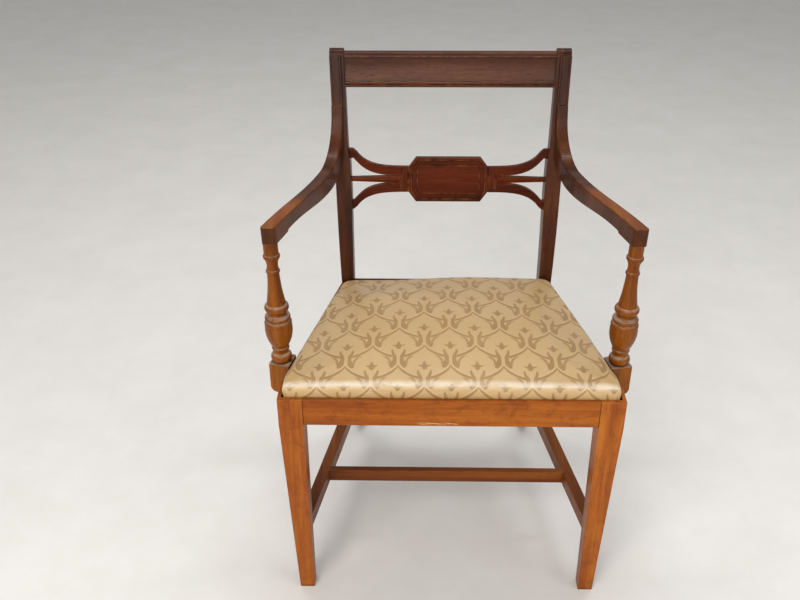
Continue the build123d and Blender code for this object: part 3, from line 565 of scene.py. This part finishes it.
def damask(name, attribute, front):
    """Figured satin, with a painted highlight along the seat's front edge and painted shade towards
    the rear.
    """
    s = Shader(name)
    where = s.coords(attribute)
    x, y = s.split(where)[:2]
    x = x + s.noise(where, 60.0, 2.0) * 0.0016 - 0.0008
    # Painted highlight along the seat's front edge, broken up by noise
    front_highlight = (y - front - 0.007).abs().ramp(0.014, 0.002)
    front_highlight = front_highlight * s.noise(where, 26.0, 4.0, 0.6).ramp(0.2, 0.6)
    y = (y - FIRST_ROW) / ROW

    def cell(start):
        """Height in rows above a neck of the lattice, and distance from its middle."""
        row = (y - start).floor()
        return y - row, (x - row * HALF).wrap(-HALF, HALF).abs()

    stem, light = stems(*cell(0.08))
    figure = stem.high(leaves(*cell(-0.08))).high(flowers(*cell(0.5)))
    figure = figure * (s.noise(where, 14.0, 3.0) * 0.5 + 0.55)

    # Satin ground with fine ribs across, and a matt figure
    warp = (x * (math.pi * WARP_THREADS)).sin()
    rib = (y * (ROW * math.pi * RIB_THREADS)).sin()
    thread = s.noise(s.moved(where, scale=(1500, 60, 60)), 1.0, 2.0)
    thread = thread * 0.5 + s.noise(s.moved(where, scale=(60, 1100, 60)), 1.0, 2.0) * 0.5
    soil = s.noise(where, 5.0, 5.0, 0.6)
    ground = s.colours(thread * 0.55 + soil * 0.45, GROUND_TONES)
    ground = s.mix(light * 0.22, ground, SATIN_LIGHT)
    drawn = s.colours(thread * 0.6 + soil * 0.4, DRAWN_TONES)
    net = ((x + y * ROW) * (math.pi / SEED)).sin() * ((x - y * ROW) * (math.pi / SEED)).sin()
    colour = s.mix(figure.high(net.abs().ramp(0.55, 0.85) * 0.3), ground, drawn)
    colour = s.mix(y.ramp(3.6, 7.6) * 0.32, colour, REAR_SHADE)
    colour = s.mix(front_highlight * 0.6, colour, SATIN_HIGHLIGHT)
    rough = figure * 0.24 + thread * 0.10 - front_highlight * 0.06 + 0.30
    height = rib * 0.25 + warp * 0.12 + thread * 0.5 + figure * 0.12
    return s.finish(
        colour,
        rough,
        height,
        DAMASK_RELIEF,
        Specular_IOR_Level=0.6,
        Coat_Weight=0.4,
        Coat_Roughness=0.24,
        Sheen_Weight=0.15,
        Sheen_Roughness=0.35,
    )


# Give every CAD piece its material
places = {node: count for count, node in enumerate(sorted(nodes), 1)}
wire = steel("steel")


def wood_of(node):
    """Polished wood for the pieces of the timber table, and pale wood for what they hide."""
    row = next((row for row in TIMBER if node.startswith(row[0])), None)
    if not row or node.endswith("_dowels"):
        along = "Y" if node in ("seat_frame_left", "seat_frame_right") else "X"
        return wood("pale_" + node, along, places[node], **PALE)
    _, along, tones, wear_and_highlight, own = row
    own = dict(own)
    # Arms go into painted shadow towards their posts
    if node in ARM_SHADOW:
        post = places[node.replace("arm", "rear_post")]
        own["fade"] = (*ARM_SHADOW[node], SHADED_BACK_TONES, post)
    if node == "front_rail":
        low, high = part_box(node)
        own["joints"] = high.x
        own["patch"] = (*SCRAPE, low.z)
    return wood("mahogany_" + node, along, places[node], tones, wear_and_highlight, **own)


for node in places:
    metal = node.endswith("_screws") or node == "seat_tacks"
    materials = nodes[node].data.materials
    materials.clear()
    materials.append(wire if metal else wood_of(node))


def cross(a, b, p):
    """Positive where p lies left of the way from a to b."""
    return (b[0] - a[0]) * (p[1] - a[1]) - (b[1] - a[1]) * (p[0] - a[0])


def outline_of(node, count):
    """Evenly spaced points round the plan outline of a convex piece."""
    points = sorted({(round(v.co.x, 6), round(v.co.y, 6)) for v in nodes[node].data.vertices})
    hull = []
    for run in (points, points[::-1]):
        part = []
        for p in run:
            while len(part) > 1 and cross(part[-2], part[-1], p) <= 0:
                part.pop()
            part.append(p)
        hull += part[:-1]
    loop = np.array(hull + hull[:1])
    length = np.concatenate([[0], np.cumsum(np.linalg.norm(np.diff(loop, axis=0), axis=1))])
    spots = np.linspace(0, length[-1], count, endpoint=False)
    return np.stack([np.interp(spots, length, loop[:, i]) for i in (0, 1)], axis=1)


def inward(loop):
    """Unit vectors that point into a loop that runs anticlockwise."""
    along = np.roll(loop, -1, axis=0) - np.roll(loop, 1, axis=0)
    along /= np.linalg.norm(along, axis=1)[:, None]
    return np.stack([-along[:, 1], along[:, 0]], axis=1)


def mesh_piece(name, verts, faces):
    """Smoothly shaded mesh in the scene."""
    data = bpy.data.meshes.new(name)
    data.from_pydata([tuple(v) for v in verts], [], faces)
    data.update()
    for polygon in data.polygons:
        polygon.use_smooth = True
    piece = bpy.data.objects.new(name, data)
    bpy.context.scene.collection.objects.link(piece)
    return piece


def rings_piece(name, rings, cap_low, cap_high):
    """Surface through rings of the same count, closed to a middle point at its ends where asked."""
    count = len(rings[0])
    verts = [p for ring in rings for p in ring]
    faces = []
    for r in range(len(rings) - 1):
        for i in range(count):
            j = (i + 1) % count
            low, high = r * count, (r + 1) * count
            faces.append((low + i, low + j, high + j, high + i))
    for ring, asked, flip in ((0, cap_low, True), (len(rings) - 1, cap_high, False)):
        if asked:
            middle = len(verts)
            verts.append(np.mean(rings[ring], axis=0))
            for i in range(count):
                a, b = ring * count + i, ring * count + (i + 1) % count
                faces.append((b, a, middle) if flip else (a, b, middle))
    return mesh_piece(name, verts, faces)


# Seat: its outline in plan and its crowned top, both taken from the CAD cover
cover_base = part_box("seat_cover")[0].z
frame_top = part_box("seat_frame_front")[1].z
seat_loop = outline_of("seat_cover", 360)
seat_in = inward(seat_loop)
seat_centre = seat_loop.mean(axis=0)
seat_rear = seat_loop[:, 1].max()
cover = nodes["seat_cover"].data
cover_tree = BVHTree.FromPolygons(
    [v.co for v in cover.vertices], [tuple(p.vertices) for p in cover.polygons]
)
# Radius of the rolled edge, and how much smaller than its cover the stuffing starts
EDGE_ROLL = 0.0065
START_SMALL = 0.0028
# Share of the sideways swelling that stays, and how far the left rear corner has settled
SPREAD = 0.25
SETTLE = 0.010
# How far the sides draw in below, and clearances of the start under and beside the frame
DRAW = 0.0022
UNDER, BESIDE = 0.0003, 0.0003
# Grain of the cushion's mesh, height over which it comes free of its frame, and steps to swell
VOXEL = 0.004
FREE_OVER = 0.008
SWELL_STEPS = 20
# Waves round the seat that pucker its sides, in radians to the metre
PUCKERS = (310, 97, 173)
# Points measured at a time
PLAN_BATCH = 4000


def top_of(plan):
    """Height of the CAD cover's crowned top over plan points."""
    down = Vector((0, 0, -1))
    return np.array([cover_tree.ray_cast(Vector((*p, 1.0)), down)[0].z for p in plan])


edge_top = top_of(seat_loop + seat_in * EDGE_ROLL)


def smooth_step(value):
    value = np.clip(value, 0, 1)
    return value * value * (3 - 2 * value)


def settled(x, y):
    """How far the stuffing has gone down towards the left rear corner."""
    leftward = smooth_step((0.06 - x) / 0.23)
    rearward = smooth_step((y - seat_rear + 0.11) / 0.10)
    return SETTLE * leftward * rearward


def at_height(plan, height):
    """Plan points at one height, or each at its own."""
    return np.column_stack([plan, np.broadcast_to(height, len(plan))])


def ring_at(inset, height):
    """Ring inside the seat's outline."""
    return at_height(seat_loop + seat_in * inset, height)


def cushion_start(small):
    """Cushion smaller than it ends up: flat under, drawn-in sides, rolled edge, crowned top."""
    base = cover_base + UNDER
    rings = []
    under = seat_loop + seat_in * (DRAW + 0.004)
    for share in (0.15, 0.4, 0.65, 0.85):
        rings.append(at_height(seat_centre + (under - seat_centre) * share, base))
    rings.append(ring_at(DRAW + 0.0030, base))
    rings.append(ring_at(DRAW + 0.0006, cover_base + 0.0022))
    side = frame_top - cover_base
    for share in np.linspace(0.15, 1.0, 5):
        rings.append(ring_at(DRAW * (1 - share) + BESIDE, cover_base + side * share))
    inset = small * 0.4
    for angle in np.linspace(0, math.pi / 2, 7):
        height = edge_top - small - EDGE_ROLL * (1 - math.sin(angle))
        rings.append(ring_at(inset + EDGE_ROLL * (1 - math.cos(angle)), height))
    top = seat_loop + seat_in * (EDGE_ROLL + inset)
    for share in np.linspace(0.96, 0.04, 24):
        plan = seat_centre + (top - seat_centre) * share
        rings.append(at_height(plan, top_of(plan) - small))
    return rings_piece("seat_cushion", rings, True, True)


def active(piece):
    bpy.ops.object.select_all(action="DESELECT")
    piece.select_set(True)
    bpy.context.view_layer.objects.active = piece


def read(piece):
    co = np.empty(len(piece.data.vertices) * 3)
    piece.data.vertices.foreach_get("co", co)
    return co.reshape(-1, 3)


def write(piece, co):
    piece.data.vertices.foreach_set("co", np.ascontiguousarray(co, dtype=np.float32).ravel())
    piece.data.update()


def plan_depth(points):
    """Distance in from the seat outline, outward direction and the edge's height there."""
    depth = np.empty(len(points))
    out = np.empty((len(points), 2))
    edge = np.empty(len(points))
    for start in range(0, len(points), PLAN_BATCH):
        batch = slice(start, start + PLAN_BATCH)
        offsets = points[batch, None, :] - seat_loop[None]
        away = np.einsum("ijk,jk->ij", offsets, seat_in)
        near = np.argmin(np.linalg.norm(offsets, axis=2), axis=1)
        depth[batch] = away[np.arange(len(near)), near]
        out[batch] = -seat_in[near]
        edge[batch] = edge_top[near]
    return depth, out, edge


def swell(piece, rise, free_from):
    """Inflates a piece above a height, as stuffing fills its cover, until its top has risen."""
    before = read(piece)
    pinned = piece.vertex_groups.new(name="held")
    weight = np.clip((free_from + FREE_OVER - before[:, 2]) / FREE_OVER, 0, 1)
    for index in np.nonzero(weight > 0)[0]:
        pinned.add([int(index)], float(weight[index]), "REPLACE")
    active(piece)
    modifier = piece.modifiers.new("swell", "CLOTH")
    settings = modifier.settings
    settings.quality = 6
    settings.mass = 0.2
    settings.use_pressure = True
    settings.uniform_pressure_force = 4.0
    settings.tension_stiffness = 20
    settings.compression_stiffness = 20
    settings.bending_stiffness = 2.0
    settings.vertex_group_mass = "held"
    settings.effector_weights.gravity = 0.0
    modifier.collision_settings.use_collision = False
    scene = bpy.context.scene
    modifier.point_cache.frame_start = 1
    modifier.point_cache.frame_end = SWELL_STEPS
    for step in range(1, SWELL_STEPS + 1):
        scene.frame_set(step)
    bpy.ops.object.modifier_apply(modifier="swell")
    scene.frame_set(1)
    move = read(piece) - before
    top = before[:, 2] > np.quantile(before[:, 2], 0.9)
    move *= rise / max(np.median(move[top, 2]), 1e-6)
    move[:, :2] *= SPREAD
    size = np.linalg.norm(move, axis=1)
    move *= np.minimum(1, 2.0 * rise / np.maximum(size, 1e-9))[:, None]
    piece.vertex_groups.clear()
    return before + move


def smooth_mesh(piece, times):
    modifier = piece.modifiers.new("smooth", "SMOOTH")
    modifier.factor = 0.5
    modifier.iterations = times
    active(piece)
    bpy.ops.object.modifier_apply(modifier="smooth")


cushion = cushion_start(START_SMALL)
cushion.data.remesh_voxel_size = VOXEL
active(cushion)
bpy.ops.object.voxel_remesh()
smooth_mesh(cushion, 3)
shaped = swell(cushion, START_SMALL, frame_top)

# Keep the cushion in the room that the rails, posts and arm supports leave it, and pucker its sides
depth, out, edge = plan_depth(shaped[:, :2])
round_seat = shaped[:, 0] * out[:, 1] - shaped[:, 1] * out[:, 0]
short, long, between = (round_seat * wave for wave in PUCKERS)
pucker = np.sin(short) * np.sin(long + 1.3) * 0.5 + np.sin(between + 0.4) * 0.5
band = smooth_step((shaped[:, 2] - cover_base) / 0.012)
band *= smooth_step((edge + 0.001 - shaped[:, 2]) / 0.010)
room = 0.0004 + 0.0006 * (1 + pucker) * band
shaped[:, :2] -= out * np.maximum(room - depth, 0)[:, None]
loose = smooth_step((shaped[:, 2] - frame_top) / 0.014)
shaped[:, 2] -= settled(shaped[:, 0], shaped[:, 1]) * loose
shaped[:, 2] = np.maximum(shaped[:, 2], cover_base + 0.0002)
write(cushion, shaped)
smooth_mesh(cushion, 1)
subdivide = cushion.modifiers.new("fine", "SUBSURF")
subdivide.levels = 1
subdivide.render_levels = 1
active(cushion)
bpy.ops.object.modifier_apply(modifier="fine")

# Cloth coordinates: the pattern runs over the top and straight down the sides
flat = read(cushion)
depth, out, edge = plan_depth(flat[:, :2])
edge = edge - settled(flat[:, 0], flat[:, 1])
fall = np.maximum(edge - flat[:, 2], 0) * np.clip(1.5 - depth / EDGE_ROLL, 0, 1)
flat[:, :2] += out * fall[:, None]
flat[:, 2] = 0
attribute = cushion.data.attributes.new("cloth", "FLOAT_VECTOR", "POINT")
attribute.data.foreach_set("vector", flat.astype(np.float32).ravel())
for polygon in cushion.data.polygons:
    polygon.use_smooth = True
cushion.data.materials.append(damask("damask", "cloth", seat_loop[:, 1].min()))
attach(cushion, "seat")
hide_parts("seat_cover", "seat_pad")


# Thin cloths under the cushion: dust cover, hessian and webbing
RIPPLE = 0.00012
# Width of a strap, height of its ribs, and points across and along it
STRAP = 0.05
RIB = 0.0002
ACROSS, ALONG = 11, 60


def area_of(loop):
    x, y = loop.T
    return abs(np.dot(x, np.roll(y, -1)) - np.dot(y, np.roll(x, -1))) / 2


def stretched(name, node, height, sag, material):
    """Cloth tacked out flat over its CAD outline, with a slight sag."""
    loop = outline_of(node, 240)
    middle = loop.mean(axis=0)
    rings = []
    for share in np.linspace(1.0, 0.04, 26):
        plan = middle + (loop - middle) * share
        waves = RIPPLE * np.sin(plan[:, 0] * 70) * np.sin(plan[:, 1] * 60)
        rings.append(at_height(plan, height - sag * (1 - share**2) + waves))
    piece = rings_piece(name, rings, False, True)
    piece.data.materials.append(material)
    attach(piece, "seat")
    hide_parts(node)
    area_of(loop)


cambric = cloth("dust_cloth", linear(38, 34, 32), linear(66, 60, 55), 900)
hessian = cloth("hessian", linear(128, 98, 60), linear(172, 140, 94), 320)
tape = cloth("webbing", linear(134, 112, 76), linear(186, 164, 122), 480)
dust_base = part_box("seat_dust_cover")[0].z
hessian_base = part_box("seat_hessian")[0].z
stretched(
    "dust_cover", "seat_dust_cover", dust_base + 0.0004, 0.0016, cambric
)
stretched(
    "hessian",
    "seat_hessian",
    hessian_base + 0.0003,
    0.0,
    hessian,
)


def webbing(name, node):
    """Ribbed straps of one direction, in the places of the CAD ones."""
    verts = np.array([v.co for v in nodes[node].data.vertices])
    low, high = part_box(node)
    lengthwise = node.endswith("long")
    key = 0 if lengthwise else 1
    spots = np.unique(np.round(verts[:, key], 4))
    bounds = [(spots[i], spots[i + 1]) for i in range(0, len(spots), 2)]
    points = []
    faces = []
    total = 0.0
    for start, end in bounds:
        strip = verts[(verts[:, key] > start - 1e-4) & (verts[:, key] < end + 1e-4)]
        first, last = strip[:, 1 - key].min(), strip[:, 1 - key].max()
        total += (end - start) * (last - first)
        base = len(points)
        for a in np.linspace(first, last, ALONG):
            for c in np.linspace(0, 1, ACROSS):
                side = start + (end - start) * c
                z = (low.z + high.z) / 2 + RIB * math.cos(c * math.pi * (ACROSS - 1))
                points.append((side, a, z) if lengthwise else (a, side, z))
        for i in range(ALONG - 1):
            for j in range(ACROSS - 1):
                p = base + i * ACROSS + j
                quad = (p, p + 1, p + ACROSS + 1, p + ACROSS)
                faces.append(quad if lengthwise else quad[::-1])
    piece = mesh_piece(name, points, faces)
    piece.data.materials.append(tape)
    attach(piece, "seat")
    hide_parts(node)
    width = STRAP * len(bounds)
    total / width


webbing("webbing_long", "seat_webbing_long")
webbing("webbing_cross", "seat_webbing_cross")


# Camera at the photograph's viewing angle: lens and sensor in millimetres, turns in degrees
LENS, SENSOR = 42.742, 36.0
YAW, PITCH, ROLL = -1.2786, 30.8623, -0.2691
EYE = (-0.05437, -1.48150, 1.34887)
camera = bpy.data.cameras.new("camera")
camera.sensor_fit = "HORIZONTAL"
camera.sensor_width = SENSOR
camera.lens = LENS
camera.clip_end = 100
viewer = bpy.data.objects.new("camera", camera)
bpy.context.scene.collection.objects.link(viewer)
yaw, pitch, roll = (math.radians(turn) for turn in (YAW, PITCH, ROLL))
ahead = Vector(
    (math.sin(yaw) * math.cos(pitch), math.cos(yaw) * math.cos(pitch), -math.sin(pitch))
)
level = Vector((math.cos(yaw), -math.sin(yaw), 0))
upright = level.cross(ahead)
right = level * math.cos(roll) + upright * math.sin(roll)
upward = upright * math.cos(roll) - level * math.sin(roll)
turn = Matrix((right, upward, -ahead)).transposed()
viewer.matrix_world = Matrix.Translation(EYE) @ turn.to_4x4()
bpy.context.scene.camera = viewer

# Plain pale floor, soft lamps and a pale surround
FLOOR_HALF = 30
FLOOR_TONES = ((0.3, linear(234, 232, 228)), (0.7, linear(242, 240, 237)))
corners = [(x * FLOOR_HALF, y * FLOOR_HALF, 0) for x, y in ((-1, -1), (1, -1), (1, 1), (-1, 1))]
floor = mesh_piece("floor", corners, [(0, 1, 2, 3)])
ground = Shader("floor")
speck = ground.noise(ground.coords(), 6.0, 6.0, 0.7)
ground_colour = ground.colours(speck, FLOOR_TONES)
floor.data.materials.append(ground.finish(ground_colour, speck * 0.1 + 0.75, speck, 0.0004))


def lamp(name, place, target, size, power, colour=(1, 1, 1)):
    """Soft rectangular lamp that looks at a target."""
    data = bpy.data.lights.new(name, "AREA")
    data.shape = "RECTANGLE"
    data.size, data.size_y = size
    data.energy = power
    data.color = colour
    holder = bpy.data.objects.new(name, data)
    bpy.context.scene.collection.objects.link(holder)
    aim = (Vector(target) - Vector(place)).to_track_quat("-Z", "Y")
    holder.matrix_world = Matrix.Translation(place) @ aim.to_matrix().to_4x4()


lamp("door", (-0.5, -3.6, 1.7), (0, 0, 0.4), (3.2, 1.6), 56, (1.0, 0.98, 0.95))
lamp("key", (-1.3, -2.6, 2.6), (0, 0, 0.4), (1.6, 1.6), 44, (1.0, 0.97, 0.92))
lamp("fill", (2.4, -1.6, 1.8), (0, 0, 0.4), (1.8, 1.8), 14)
lamp("top", (0.0, 0.4, 3.0), (0, -0.1, 0.4), (2.4, 0.3), 32)
lamp("behind", (0.0, 2.7, 2.2), (0, 0, 0.5), (3.0, 1.0), 4)

world = bpy.data.worlds.new("surround")
bpy.context.scene.world = world
world.use_nodes = True
back = next(n for n in world.node_tree.nodes if n.type == "BACKGROUND")
back.inputs["Color"].default_value = (1.0, 0.99, 0.97, 1)
back.inputs["Strength"].default_value = 0.34
bpy.context.scene.view_settings.view_transform = "Standard"
